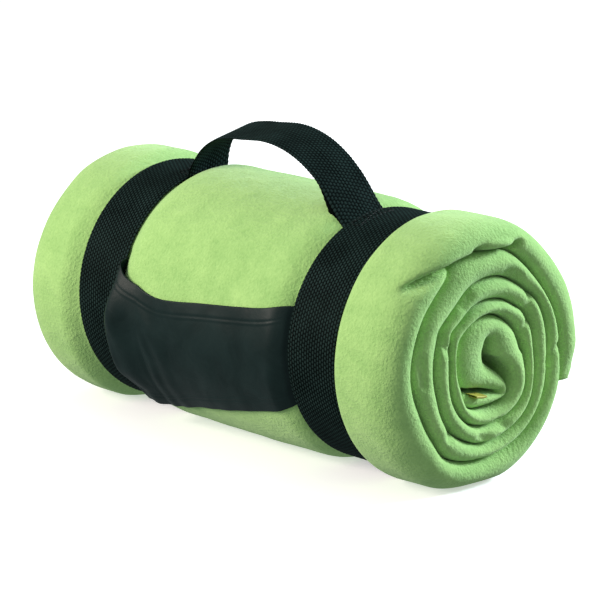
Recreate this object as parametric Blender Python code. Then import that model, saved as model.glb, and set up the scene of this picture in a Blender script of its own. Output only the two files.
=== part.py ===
# A fleece camp blanket, folded in four and rolled up, in a webbing carrier.
#
# The roll lies along X and rests on the floor at z = 0. The carrier's panel faces -Y, its handle stands
# up at +Z, and its two straps close with hook and loop tape at +Y. Angles round the roll are in degrees
# from +Y, rising over the top: 0 is the back, 90 the top, 180 the front and 270 the bottom.

import math

import bmesh
import bpy
from mathutils import Vector

MM = 0.001

# Blanket
ROLL_LENGTH = 318 * MM        # a 1270 mm wide blanket folded in four
ROLL_RADIUS = 77 * MM         # at the two ends
MIDDLE_LOSS = 0.6 * MM        # the roll is this much smaller between the straps
CINCH = 6.4 * MM              # and this much under them
SAG = 3 * MM                  # its own weight flattens it this much where it rests
END_ROUNDING = 20 * MM        # the soft edge between the roll's side and its end
SWELL_LENGTH = 13 * MM        # how far from a strap the fleece has swollen back
LABEL_LENGTH = 14 * MM
LABEL_THICKNESS = 0.6 * MM
LABEL_PROUD = 2 * MM          # how far the label shows out of the roll's end
LABEL_SHIFT = -6 * MM         # the label's middle lies in front of the roll's axis
LABEL_DEPTH = 20.8 * MM       # and below it, between the two innermost turns

# Webbing and tapes
STRAP_WIDTH = 38 * MM
STRAP_SPACING = 184 * MM      # between the middles of the two straps
WEBBING = 1.6 * MM            # thickness
TAPE = 0.9 * MM               # thickness of the hook tape and of the loop tape
TAPE_EDGE = 2.5 * MM          # webbing left bare on each side of a tape
THREAD = 0.6 * MM
GAP = 0.3 * MM                # between pieces that touch

# Where the straps open, in degrees
OPENING_START = 66            # the free end begins here, just behind the handle
STRAP_END = -22               # the fixed strap comes round the front and the bottom, and ends here
FREE_END = -64                # the free end's tip
OVERLAP_RAMP = 12             # over this angle the free end climbs on to the strap
RAMP_LEAD = 2                 # the climb is over this far before the strap's end
TAPE_MARGIN = 3               # bare webbing past the tape's ends

# Handle
HANDLE_WIDTH = 31 * MM
HANDLE_REACH = 12 * MM        # how far each end is tucked under its strap
HANDLE_SHIFT = -9 * MM        # the handle's middle lies in front of the roll's top
HANDLE_LEAN = 0.6             # the share of that shift by which it grows to the right and shrinks to the left
HANDLE_RISE = 30.5 * MM       # from the roll's top to the middle of the webbing
HANDLE_PEAK = -8 * MM         # the peak's place along X
HANDLE_FULLNESS = (0.68, 0.85)    # of its left and right legs: 1 is a plain cosine arch, and less is fuller
HANDLE_TILT = 0.12            # how far the arch's front edge drops, as a slope
HANDLE_LEG = 16 * MM          # the height over the tucked end at which the swinging part starts
BEND_ROOM = 2 * WEBBING       # from the strap's edge to where the handle has turned up
DENT_SLOPE = 0.6              # of the fleece under the rising handle
TACK_MARGIN = 2.5 * MM        # from the strap's edge and from the handle's edge to the tack stitching

# Panel
PANEL = 0.5 * MM              # thickness
PANEL_REACH = 10 * MM         # how far each end is tucked under its strap
PANEL_TOP = ((-1.0, 157), (-0.5, 171), (0.0, 168.5), (1.0, 159))      # share of the half-span, degrees
PANEL_BOTTOM = ((-1.0, 225), (-0.6, 229), (0.0, 220.5), (1.0, 206.5))
HEM_WIDTH = 8 * MM
SEAM_INSET = 4 * MM           # from the strap's inner edge to the seam that holds the panel

TURN_FACE = 6.75 * MM         # the faces round the roll are no longer than this

MIDDLE_RADIUS = ROLL_RADIUS - MIDDLE_LOSS
GROOVE_RADIUS = ROLL_RADIUS - CINCH
FLOOR_DEPTH = ROLL_RADIUS - SAG                        # from the roll's axis down to the floor
STRAP_INNER = GROOVE_RADIUS + GAP
STRAP_OUTER = STRAP_INNER + WEBBING
HALF_SPAN = (STRAP_SPACING - STRAP_WIDTH) / 2          # from the middle to a strap's inner edge
LOOP_INNER = STRAP_OUTER + GAP
HOOK_INNER = LOOP_INNER + TAPE + GAP
FREE_INNER = HOOK_INNER + TAPE + GAP                   # the free end's inside, over the closure
TURN_STEP = 360 / math.ceil(math.tau * ROLL_RADIUS / TURN_FACE)
HANDLE_PRESS = WEBBING + GAP                           # the dents that the tucked ends make in the fleece
PANEL_PRESS = PANEL + GAP
SIDES = (("left", -1), ("right", 1))


def clear_scene():
    for obj in list(bpy.data.objects):
        bpy.data.objects.remove(obj)


def material(name, colour, roughness):
    made = bpy.data.materials.new(name)
    made.use_nodes = True
    shader = made.node_tree.nodes["Principled BSDF"]
    shader.inputs["Base Color"].default_value = (*colour, 1)
    shader.inputs["Roughness"].default_value = roughness
    shader.inputs["Metallic"].default_value = 0
    return made


def add_object(name, mesh, colour, roughness):
    mesh.faces.ensure_lookup_table()
    bmesh.ops.recalc_face_normals(mesh, faces=mesh.faces)
    data = bpy.data.meshes.new(name)
    mesh.to_mesh(data)
    mesh.free()
    data.shade_smooth()
    data.set_sharp_from_angle(angle=math.radians(40))
    data.materials.append(material(name, colour, roughness))
    obj = bpy.data.objects.new(name, data)
    bpy.context.collection.objects.link(obj)
    return obj


def steps(start, end, size):
    """Evenly spaced values from start to end, no further apart than size."""
    count = max(1, math.ceil(abs(end - start) / size - 1e-6))
    return [start + (end - start) * i / count for i in range(count + 1)]


def smooth(value):
    """0 below 0, 1 above 1 and an S between them."""
    t = min(max(value, 0), 1)
    return t * t * (3 - 2 * t)


def along_curve(points, at):
    """Height at one place of a smooth curve through a few points."""
    slopes = []
    for i, (x, y) in enumerate(points):
        before, after = points[max(i - 1, 0)], points[min(i + 1, len(points) - 1)]
        slopes.append((after[1] - before[1]) / (after[0] - before[0]))
    i = 0
    while i < len(points) - 2 and at > points[i + 1][0]:
        i += 1
    (x0, y0), (x1, y1) = points[i], points[i + 1]
    span = x1 - x0
    t = min(max((at - x0) / span, 0), 1)
    rise = y0 + (y1 - y0) * smooth(t)
    return rise + span * t * (1 - t) * (slopes[i] * (1 - t) - slopes[i + 1] * t)


def on_roll(x, angle, radius):
    turn = math.radians(angle)
    return Vector((x, radius * math.cos(turn), FLOOR_DEPTH + radius * math.sin(turn)))


def handle_middle(x):
    """The handle's middle line leans: its right end lies further forward than its left end."""
    return HANDLE_SHIFT * (1 + HANDLE_LEAN * x / HALF_SPAN)


def handle_angle(x):
    """The angle round the roll at which the handle's middle leaves it."""
    return 90 - math.degrees(math.asin(handle_middle(x) / STRAP_INNER))


HALF_HANDLE_ANGLE = math.degrees(HANDLE_WIDTH / 2 / STRAP_INNER)


def panel_top(x):
    return along_curve(PANEL_TOP, x / HALF_SPAN)


def panel_bottom(x):
    return along_curve(PANEL_BOTTOM, x / HALF_SPAN)


def tucked(x, before, reach):
    """Whether a piece that is tucked under a strap by reach, and starts just before it, presses here."""
    inside = abs(x) - HALF_SPAN
    return -before - GAP / 2 < inside < reach + 1.5 * GAP


def fleece_radius(x, angle):
    """The roll's surface: two ends and a middle that swell, grooves under the straps, and dents."""
    edge = abs(abs(x) - STRAP_SPACING / 2) - STRAP_WIDTH / 2 - GAP
    full = MIDDLE_RADIUS if abs(x) < STRAP_SPACING / 2 else ROLL_RADIUS
    swell = math.sin(math.pi / 2 * min(max(edge / SWELL_LENGTH, 0), 1))
    radius = GROOVE_RADIUS + (full - GROOVE_RADIUS) * swell
    handle_off = abs((angle - handle_angle(math.copysign(HALF_SPAN, x)) + 180) % 360 - 180)
    if tucked(x, HALF_SPAN, HANDLE_REACH) and handle_off < HALF_HANDLE_ANGLE + TURN_STEP:
        rise = DENT_SLOPE * max(HALF_SPAN - BEND_ROOM - abs(x), 0)
        radius = min(radius, GROOVE_RADIUS - HANDLE_PRESS + rise)
    panel_off = max(panel_top(x) - angle, angle - panel_bottom(x))
    if tucked(x, GAP, PANEL_REACH) and panel_off < TURN_STEP:
        radius -= PANEL_PRESS
    return radius


def half_span_lines():
    """Places from the roll's middle to a strap's edge that share its swelling out among flat faces."""
    return [0] + steps(HALF_SPAN - GAP - SWELL_LENGTH, HALF_SPAN - BEND_ROOM, 4 * MM) + [HALF_SPAN - GAP]


def fleece_roll():
    """The blanket: rings round X, closed at both ends, and cut flat where it rests."""
    half = ROLL_LENGTH / 2
    strap_out = HALF_SPAN + STRAP_WIDTH + GAP
    side = set(half_span_lines()) | set(steps(strap_out, strap_out + SWELL_LENGTH, SWELL_LENGTH / 3))
    for reach in (PANEL_REACH, HANDLE_REACH):
        side |= {HALF_SPAN + reach + GAP, HALF_SPAN + reach + 3 * GAP}
    side = sorted(x for x in side if x < half - END_ROUNDING - GAP)
    stations = [(x, 0.0) for x in side]
    for turn in steps(0, 90, 18):
        a = math.radians(turn)
        stations.append((half - END_ROUNDING * (1 - math.sin(a)), END_ROUNDING * (1 - math.cos(a))))
    stations = [(-x, drop) for x, drop in reversed(stations) if x > 0] + stations
    angles = steps(0, 360, TURN_STEP)[:-1]
    mesh = bmesh.new()
    rings = []
    for x, drop in stations:
        rings.append([mesh.verts.new(on_roll(x, a, fleece_radius(x, a) - drop)) for a in angles])
    for ring, following in zip(rings, rings[1:]):
        for i in range(len(angles)):
            j = (i + 1) % len(angles)
            mesh.faces.new((ring[i], ring[j], following[j], following[i]))
    mesh.faces.new(rings[0])
    mesh.faces.new(rings[-1])
    bmesh.ops.triangulate(mesh, faces=[f for f in mesh.faces if len(f.verts) == 4])
    cut = bmesh.ops.bisect_plane(
        mesh, geom=mesh.verts[:] + mesh.edges[:] + mesh.faces[:], dist=1e-7,
        plane_co=(0, 0, 0), plane_no=(0, 0, -1), clear_outer=True,
    )
    edges = [e for e in cut["geom_cut"] if isinstance(e, bmesh.types.BMEdge)]
    bmesh.ops.edgenet_fill(mesh, edges=[e for e in edges if e.is_valid and e.is_boundary])
    return add_object("blanket_roll", mesh, (0.42, 0.66, 0.2), 0.95)


def curved_sheet(name, stations, lines, radius, thickness, colour, roughness, hole=None):
    """A thin sheet bent round the roll. stations are its lines across X; lines(x) are the angles along each."""
    mesh = bmesh.new()
    grid = [[(x, a) for a in lines(x)] for x in stations]
    layers = []
    for extra in (0, thickness):
        layers.append([[mesh.verts.new(on_roll(x, a, radius(x, a) + extra)) for x, a in row] for row in grid])
    rows, columns = len(grid), len(grid[0])
    kept = {(i, j) for i in range(rows - 1) for j in range(columns - 1) if not (hole and hole(i, j))}
    for i, j in sorted(kept):
        for layer in layers:
            mesh.faces.new((layer[i][j], layer[i + 1][j], layer[i + 1][j + 1], layer[i][j + 1]))
        walls = (
            ((i - 1, j), (i, j), (i, j + 1)),
            ((i + 1, j), (i + 1, j), (i + 1, j + 1)),
            ((i, j - 1), (i, j), (i + 1, j)),
            ((i, j + 1), (i, j + 1), (i + 1, j + 1)),
        )
        for beyond, (a, b), (c, d) in walls:
            if beyond not in kept:
                mesh.faces.new((layers[0][a][b], layers[0][c][d], layers[1][c][d], layers[1][a][b]))
    bmesh.ops.delete(mesh, geom=[v for v in mesh.verts if not v.link_faces], context="VERTS")
    return add_object(name, mesh, colour, roughness)


WEBBING_LOOK = ((0.012, 0.02, 0.02), 0.75)
THREAD_LOOK = ((0.02, 0.03, 0.03), 0.6)
TAPE_LOOK = ((0.015, 0.02, 0.02), 0.9)
PANEL_LOOK = ((0.02, 0.035, 0.037), 0.45)


def band_stations(middle, width):
    return [middle - width / 2, middle + width / 2]


def strap(side, sign):
    """The sewn part of a strap: from the top over the front and the bottom to the back."""
    angles = steps(OPENING_START, 360 + STRAP_END, TURN_STEP)
    stations = band_stations(sign * STRAP_SPACING / 2, STRAP_WIDTH)
    curved_sheet(f"strap_{side}", stations, lambda x: angles, lambda x, a: STRAP_INNER, WEBBING, *WEBBING_LOOK)


def free_radius(angle):
    """The inside of the free end, which climbs over the strap's end and its loop tape."""
    ramp_start = STRAP_END + OVERLAP_RAMP + RAMP_LEAD
    return STRAP_INNER + (FREE_INNER - STRAP_INNER) * smooth((ramp_start - angle) / OVERLAP_RAMP)


def free_end(side, sign):
    gap_angle = math.degrees(GAP / STRAP_INNER)
    ramp_start = STRAP_END + OVERLAP_RAMP + RAMP_LEAD
    angles = steps(FREE_END, ramp_start - OVERLAP_RAMP, TURN_STEP)
    angles += steps(ramp_start - OVERLAP_RAMP, ramp_start, TURN_STEP / 2)[1:]
    angles += steps(ramp_start, OPENING_START - gap_angle, TURN_STEP)[1:]
    stations = band_stations(sign * STRAP_SPACING / 2, STRAP_WIDTH)
    radius = lambda x, a: free_radius(a)
    curved_sheet(f"strap_free_end_{side}", stations, lambda x: angles, radius, WEBBING, *WEBBING_LOOK)


def tapes(side, sign):
    """Loop tape on the outside of the strap's end, and hook tape on the inside of the free end."""
    stations = band_stations(sign * STRAP_SPACING / 2, STRAP_WIDTH - 2 * TAPE_EDGE)
    angles = steps(FREE_END + TAPE_MARGIN, STRAP_END - TAPE_MARGIN, TURN_STEP)
    for kind, inner in (("loop", LOOP_INNER), ("hook", HOOK_INNER)):
        curved_sheet(f"{kind}_tape_{side}", stations, lambda x: angles, lambda x, a: inner, TAPE, *TAPE_LOOK)


def frame_stitching(name, middle, width, low, high, radius):
    """A closed line of stitching: a thin rectangular ring that lies on the webbing."""
    half = width / 2
    stations = [middle - half, middle - half + THREAD, middle, middle + half - THREAD, middle + half]
    thread_angle = math.degrees(THREAD / radius)
    inside = steps(low + thread_angle, high - thread_angle, TURN_STEP)
    angles = [low] + inside + [high]
    hollow = lambda i, j: 0 < i < len(stations) - 2 and 0 < j < len(angles) - 2
    curved_sheet(name, stations, lambda x: angles, lambda x, a: radius, THREAD, *THREAD_LOOK, hole=hollow)


def stitching(side, sign):
    middle = sign * STRAP_SPACING / 2
    frame_stitching(
        f"hook_tape_stitching_{side}", middle, STRAP_WIDTH - 3 * TAPE_EDGE,
        FREE_END + TAPE_MARGIN + 1, STRAP_END - TAPE_MARGIN - 1, FREE_INNER + WEBBING + GAP,
    )
    tack = HANDLE_REACH - TACK_MARGIN
    half_angle = HALF_HANDLE_ANGLE - math.degrees(TACK_MARGIN / STRAP_OUTER)
    centre = handle_angle(sign * HALF_SPAN)
    frame_stitching(
        f"handle_tack_stitching_{side}", sign * (HALF_SPAN + TACK_MARGIN + tack / 2), tack,
        centre - half_angle, centre + half_angle, STRAP_OUTER + GAP,
    )
    seam = sign * (HALF_SPAN + SEAM_INSET)
    angles = steps(panel_top(sign * HALF_SPAN) + 1, panel_bottom(sign * HALF_SPAN) - 1, TURN_STEP)
    curved_sheet(
        f"panel_seam_stitching_{side}", [seam - THREAD / 2, seam + THREAD / 2],
        lambda x: angles, lambda x, a: STRAP_OUTER + GAP, THREAD, *THREAD_LOOK,
    )


def panel_stations(end):
    """Lines across the panel, closer together towards the straps."""
    flat = steps(0, HALF_SPAN - GAP - SWELL_LENGTH, 15 * MM)
    half = sorted(x for x in set(flat + half_span_lines() + [end]) if x <= end)
    return [-x for x in reversed(half) if x > 0] + half


def panel_radius(x, angle):
    if abs(x) > HALF_SPAN - 2 * GAP:
        return GROOVE_RADIUS - PANEL_PRESS + GAP
    return fleece_radius(x, angle) + GAP


def panel():
    """The nylon panel, spread over the front of the roll and tucked under both straps."""
    count = math.ceil((PANEL_BOTTOM[0][1] - PANEL_TOP[0][1]) / TURN_STEP)
    share = [i / count for i in range(count + 1)]
    lines = lambda x: [panel_top(x) + (panel_bottom(x) - panel_top(x)) * s for s in share]
    stations = panel_stations(HALF_SPAN + PANEL_REACH)
    curved_sheet("front_panel", stations, lines, panel_radius, PANEL, *PANEL_LOOK)
    hem = math.degrees(HEM_WIDTH / MIDDLE_RADIUS)
    wide = math.degrees(THREAD / MIDDLE_RADIUS)
    rows = (
        ("panel_top_hem_stitching", lambda x: [panel_top(x) + hem, panel_top(x) + hem + wide]),
        ("panel_bottom_hem_stitching", lambda x: [panel_bottom(x) - hem - wide, panel_bottom(x) - hem]),
    )
    for name, row in rows:
        over = lambda x, a: panel_radius(x, a) + PANEL + GAP
        curved_sheet(name, panel_stations(HALF_SPAN - 3 * GAP), row, over, THREAD, *THREAD_LOOK)


def handle_path():
    """The handle's middle line in X and Z, from under the left strap to under the right one."""
    tucked = FLOOR_DEPTH + STRAP_INNER - GAP - WEBBING / 2
    foot = HALF_SPAN - GAP - WEBBING
    top = FLOOR_DEPTH + MIDDLE_RADIUS + HANDLE_RISE
    rise = top - tucked
    arch = []
    for share in steps(-1, 1, 0.09):
        x = HANDLE_PEAK + share * (foot - math.copysign(1, share) * HANDLE_PEAK)
        fullness = HANDLE_FULLNESS[share > 0]
        arch.append((x, tucked + rise * max(math.cos(math.pi / 2 * share), 0) ** fullness))
    ends = [(HALF_SPAN + HANDLE_REACH, tucked), (HALF_SPAN, tucked)]
    return [(-x, z) for x, z in ends] + arch + [(x, z) for x, z in reversed(ends)]


def band(name, path):
    """Webbing of the handle's width along a path in X and Z; it is crowned like the roll where it is low."""
    tucked = FLOOR_DEPTH + STRAP_INNER - GAP - WEBBING / 2
    shares = [i / 4 - 1 for i in range(9)]
    mesh = bmesh.new()
    rings = []
    for i, (x, z) in enumerate(path):
        before, after = path[max(i - 1, 0)], path[min(i + 1, len(path) - 1)]
        run = Vector((after[0] - before[0], 0, after[1] - before[1])).normalized()
        out = Vector((-run.z, 0, run.x)) * WEBBING / 2
        crown = 1 - smooth((z - tucked) / HANDLE_LEG)
        points = []
        for share in shares:
            y = handle_middle(x) + share * HANDLE_WIDTH / 2
            drop = (STRAP_INNER - math.sqrt(STRAP_INNER ** 2 - y * y)) * crown
            lift = share * HANDLE_WIDTH / 2 * HANDLE_TILT * (1 - crown)
            points.append(Vector((x, y, z - drop + lift)))
        ring = [mesh.verts.new(p + out) for p in points]
        ring += [mesh.verts.new(p - out) for p in reversed(points)]
        rings.append(ring)
    for ring, following in zip(rings, rings[1:]):
        for i in range(len(ring)):
            j = (i + 1) % len(ring)
            mesh.faces.new((ring[i], ring[j], following[j], following[i]))
    for ring in (rings[0], rings[-1]):
        for i in range(len(shares) - 1):
            mesh.faces.new((ring[i], ring[i + 1], ring[-i - 2], ring[-i - 1]))
    bmesh.ops.triangulate(mesh, faces=mesh.faces[:])
    return add_object(name, mesh, *WEBBING_LOOK)


def split_path(path, height):
    """Cuts the path where it first and last passes a height, leaving the gap between pieces."""
    first = next(i for i, (x, z) in enumerate(path) if z > height)
    last = next(i for i in reversed(range(len(path))) if path[i][1] > height)

    def between(low, high, z):
        t = (z - low[1]) / (high[1] - low[1])
        return (low[0] + (high[0] - low[0]) * t, z)

    left = path[:first] + [between(path[first - 1], path[first], height)]
    right = [between(path[last + 1], path[last], height)] + path[last + 1:]
    start = between(path[first - 1], path[first], height + 1.3 * GAP)
    end = between(path[last + 1], path[last], height + 1.3 * GAP)
    return left, [start] + path[first:last + 1] + [end], right


def handle():
    path = handle_path()
    left, arch, right = split_path(path, path[0][1] + HANDLE_LEG)
    band("handle_end_left", left)
    band("handle_end_right", right)
    band("handle", arch)


def care_label():
    """A small woven label that sticks out between two turns at the roll's right end."""
    mesh = bmesh.new()
    bmesh.ops.create_cube(mesh, size=1)
    bmesh.ops.scale(mesh, vec=(LABEL_PROUD - GAP, LABEL_LENGTH, LABEL_THICKNESS), verts=mesh.verts)
    middle = ROLL_LENGTH / 2 + GAP + (LABEL_PROUD - GAP) / 2
    bmesh.ops.translate(mesh, vec=(middle, LABEL_SHIFT, FLOOR_DEPTH - LABEL_DEPTH), verts=mesh.verts)
    return add_object("care_label", mesh, (0.75, 0.62, 0.1), 0.7)


clear_scene()
fleece_roll()
care_label()
for side_name, side_sign in SIDES:
    strap(side_name, side_sign)
    free_end(side_name, side_sign)
    tapes(side_name, side_sign)
    stitching(side_name, side_sign)
panel()
handle()
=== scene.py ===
# A fleece camp blanket, folded in four, rolled up and held in a webbing carrier.
#
# The roll lies along X on the floor at z = 0. The carrier's panel faces -Y, its handle stands up, and its
# two straps close at +Y. Angles round the roll are in degrees from +Y, rising over the top, so 90 is the
# top, 180 the front and 270 the bottom. Sizes are in metres.

import math

import bmesh
import bpy
from mathutils import Matrix, Vector, noise


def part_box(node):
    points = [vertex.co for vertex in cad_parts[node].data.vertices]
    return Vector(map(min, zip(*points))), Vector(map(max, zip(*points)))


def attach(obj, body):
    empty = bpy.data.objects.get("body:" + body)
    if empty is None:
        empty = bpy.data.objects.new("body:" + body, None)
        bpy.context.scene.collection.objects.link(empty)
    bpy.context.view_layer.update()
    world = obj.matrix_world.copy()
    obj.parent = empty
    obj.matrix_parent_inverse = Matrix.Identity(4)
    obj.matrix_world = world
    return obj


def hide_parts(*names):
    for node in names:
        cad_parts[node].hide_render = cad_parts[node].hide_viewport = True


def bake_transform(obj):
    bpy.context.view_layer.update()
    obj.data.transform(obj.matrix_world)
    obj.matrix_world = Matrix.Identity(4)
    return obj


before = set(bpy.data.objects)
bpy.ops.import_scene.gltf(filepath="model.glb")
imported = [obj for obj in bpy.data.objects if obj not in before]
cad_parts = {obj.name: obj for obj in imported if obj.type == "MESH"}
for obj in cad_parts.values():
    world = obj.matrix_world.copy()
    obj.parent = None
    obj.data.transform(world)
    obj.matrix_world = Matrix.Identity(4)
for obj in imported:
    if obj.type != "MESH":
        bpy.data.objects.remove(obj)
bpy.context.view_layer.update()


# ---- Camera ----
# A long lens on a level stand, looking at the roll's right end, its front and a little of its top.

roll_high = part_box("blanket_roll")[1]
STRAP_LOW, STRAP_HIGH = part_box("strap_right")
AXIS_Z = (STRAP_LOW.z + STRAP_HIGH.z) / 2      # the straps are wound round the roll's axis

CAMERA_TURN = math.radians(47.545)
CAMERA_RISE = math.radians(13.656)
CAMERA_ROLL = math.radians(0.475)
CAMERA_DISTANCE = 2.0193
LENS = 207.4                                   # in mm, like the film's width
FILM_WIDTH = 36

camera_data = bpy.data.cameras.new("camera")
camera_data.lens = LENS
camera_data.sensor_width = FILM_WIDTH
camera_data.shift_x = 0.0091
camera_data.shift_y = 0.0140
camera = bpy.data.objects.new("camera", camera_data)
bpy.context.collection.objects.link(camera)
away = Vector((
    math.sin(CAMERA_TURN) * math.cos(CAMERA_RISE),
    -math.cos(CAMERA_TURN) * math.cos(CAMERA_RISE),
    math.sin(CAMERA_RISE),
))
camera.matrix_world = (
    Matrix.Translation(Vector((0, 0, AXIS_Z)) + away * CAMERA_DISTANCE)
    @ away.to_track_quat("Z", "Y").to_matrix().to_4x4()
    @ Matrix.Rotation(CAMERA_ROLL, 4, "Z")
)
bpy.context.scene.camera = camera


# ---- Studio ----
# White paper on the floor of a white room that is dimmer low down. A warm soft light stands at the front
# left, a faint one hangs overhead, and a cool one behind the right end picks out the handle and the rim.

FLOOR_SIZE = 14
PAPER_GLOW = 0.45               # keeps the paper white
ROOM_LOW, ROOM_HIGH = 0.32, 0.44  # the room's brightness low down and high up

floor_mesh = bmesh.new()
bmesh.ops.create_grid(floor_mesh, x_segments=8, y_segments=8, size=FLOOR_SIZE / 2)
floor_data = bpy.data.meshes.new("floor")
floor_mesh.to_mesh(floor_data)
floor_mesh.free()
floor = bpy.data.objects.new("floor", floor_data)
bpy.context.collection.objects.link(floor)
paper = bpy.data.materials.new("white_paper")
paper.use_nodes = True
paper_finish = paper.node_tree.nodes["Principled BSDF"].inputs
paper_finish["Base Color"].default_value = (0.9, 0.9, 0.9, 1)
paper_finish["Roughness"].default_value = 0.9
paper_finish["Emission Color"].default_value = (1, 1, 1, 1)
paper_finish["Emission Strength"].default_value = PAPER_GLOW
floor_data.materials.append(paper)
# The room alone lights the roll from below, and nothing mirrors the paper
floor.visible_diffuse = False
floor.visible_glossy = False

world = bpy.data.worlds.new("studio")
world.use_nodes = True
walls = world.node_tree.nodes["Background"].inputs
walls["Color"].default_value = (0.9, 1, 1, 1)
direction = world.node_tree.nodes.new("ShaderNodeTexCoord")
upward = world.node_tree.nodes.new("ShaderNodeSeparateXYZ")
room = world.node_tree.nodes.new("ShaderNodeMapRange")
for setting, value in (("From Min", -0.3), ("From Max", 0.5), ("To Min", ROOM_LOW), ("To Max", ROOM_HIGH)):
    room.inputs[setting].default_value = value
world.node_tree.links.new(direction.outputs["Generated"], upward.inputs["Vector"])
world.node_tree.links.new(upward.outputs["Z"], room.inputs["Value"])
world.node_tree.links.new(room.outputs["Result"], walls["Strength"])
bpy.context.scene.world = world
bpy.context.scene.view_settings.view_transform = "Standard"


def softbox(name, place, size, power, tint):
    """A square studio light that points at the middle of the roll."""
    light_data = bpy.data.lights.new(name, "AREA")
    light_data.size = size
    light_data.energy = power
    light_data.color = tint
    light = bpy.data.objects.new(name, light_data)
    bpy.context.collection.objects.link(light)
    place = Vector(place)
    aim = (place - Vector((0, 0, AXIS_Z))).to_track_quat("Z", "Y").to_matrix().to_4x4()
    light.matrix_world = Matrix.Translation(place) @ aim


softbox("key_light", (-0.85, -1.7, 0.85), 1.0, 46, (1, 0.89, 0.79))
softbox("top_light", (-0.3, -0.1, 2.0), 1.2, 2, (1, 1, 1))
softbox("end_light", (0.75, 1.5, 0.8), 0.45, 46, (0.88, 1, 1.05))


# ---- Rolled blanket ----
# Polyester fleece, folded in four across its width and then rolled up, so that every turn shows a soft
# folded edge at the roll's ends. The straps cinch it, its ends flare, and its loose edge lies at the back.

ROLL_RADIUS = roll_high.y
ROLL_HALF = roll_high.x
MIDDLE_LOSS = 0.0006            # the roll is this much slimmer between its straps
STRAP_MIDDLE = (STRAP_LOW.x + STRAP_HIGH.x) / 2
STRAP_HALF = (STRAP_HIGH.x - STRAP_LOW.x) / 2
STRAP_OUTER = (STRAP_HIGH.z - STRAP_LOW.z) / 2
WEBBING = 0.0016                # the webbing's thickness
CLEARANCE = 0.0003              # between two layers that touch
CINCHED = STRAP_OUTER - WEBBING - CLEARANCE
SWELL_LENGTH = 0.013            # beside a strap, the length over which the fleece swells to its full radius
END_SWELL_LENGTH = 0.007        # and outside the right strap
LOOSE_EDGE = -12                # the angle at which the blanket's loose edge lies
FIRST_TURN_END = LOOSE_EDGE + 360
CORE_START = 1440               # the angle, counted through the turns, at which the loose core begins
CORE_SINKS = CORE_START - 60    # the angle from which the turns stand further and further in
FLARED = ROLL_HALF - 0.02       # a place along the roll where its end has flared fully

# The boundary between one turn and the next at the roll's end: angle through the turns, radius in mm
TURNS = (
    (340, 66), (352, 61.5), (362, 59.2), (384, 56.6), (397, 55.4), (410, 56.2), (422, 58.4), (434, 61),
    (450, 60.2), (475, 60.2), (490, 57), (509, 56.8), (540, 56.2), (566, 53.9), (584, 55.2), (601, 58.6),
    (630, 57.4), (659, 56.8), (677, 55), (694, 52.4), (706, 49.8), (720, 48.3), (744, 48.3), (758, 48.2),
    (769, 46.6), (797, 46.1), (818, 44.6), (828, 43.5), (842, 40.6), (856, 40.1), (869, 41.6), (880, 40.3),
    (900, 39.6), (920, 40.1), (934, 42), (950, 44.4), (968, 46), (990, 48.4), (1013, 47.8), (1031, 47.2),
    (1043, 45), (1053, 42), (1064, 39.7), (1080, 37.4), (1094, 37.6), (1108, 38.3), (1118, 37.4),
    (1130, 35.4), (1146, 34.4), (1162, 33), (1192, 32.1), (1213, 31.9), (1226, 33.4), (1236, 31),
    (1260, 28.2), (1287, 30.7), (1304, 32.6), (1322, 35), (1338, 37.4), (1366, 38.8), (1391, 38.6),
    (1405, 37.2), (1416, 34.6), (1430, 31.4), (1450, 29), (1476, 26.6), (1500, 25.3), (1530, 24.7),
    (1590, 24.5), (1620, 23.4), (1650, 22.6), (1665, 24.6), (1680, 27.5), (1710, 29), (1740, 29.6),
    (1758, 27.6), (1772, 22.8), (1786, 15.5), (1800, 9),
)
# The core's outer and inner side, in mm from the axis, as the blanket's first fold doubles back on itself
CORE = (
    ((28.7, 0), (9, -0.4)), ((23.2, 13.4), (5.4, 5.4)), ((12.5, 21.7), (4.7, 9.8)), ((0, 24.4), (2.9, 11.2)),
    ((-12.2, 21.2), (1.5, 9.8)), ((-21, 12), (1, 6.8)), ((-23, 0), (0.8, 2.8)), ((-19, -10.8), (2.4, -2)),
    ((-12, -15.6), (6, -5)), ((0, -17.6), (11, -8.4)), ((9, -19.8), (16.6, -12.6)),
    ((12.6, -20.9), (19.6, -17)), ((13, -21.4), (19.8, -21)), ((12, -21.8), (17, -24.6)),
    ((5, -20.9), (10, -27)), ((-3, -20.2), (2, -28)), ((-12, -18.6), (-7, -28)), ((-16, -20.6), (-15, -25)),
)


def through(points, at):
    """The height at one place of a smooth curve through a few points."""
    i = 0
    while i < len(points) - 2 and at > points[i + 1][0]:
        i += 1
    (x0, y0), (x1, y1) = points[i], points[i + 1]
    before, after = points[max(i - 1, 0)], points[min(i + 2, len(points) - 1)]
    lean0 = (y1 - before[1]) / (x1 - before[0])
    lean1 = (after[1] - y0) / (after[0] - x0)
    span = x1 - x0
    t = min(max((at - x0) / span, 0), 1)
    rise = y0 + (y1 - y0) * t * t * (3 - 2 * t)
    return rise + span * t * (1 - t) * (lean0 * (1 - t) - lean1 * t)


def blur_min(a, b, width):
    """The lower of two values, with the corner between them rounded off."""
    near = max(width - abs(a - b), 0) / width
    return min(a, b) - near * near * width / 4


def ease(value):
    """0 below 0, 1 above 1 and an S between them."""
    t = min(max(value, 0), 1)
    return t * t * (3 - 2 * t)


# Where the outside falls away under the loose edge: angle, radius in mm
UNDER_EDGE = ((250, 95), (275, 81.5), (300, 74.6), (320, 71), (336, 67.6), (348, 63.4))
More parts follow.
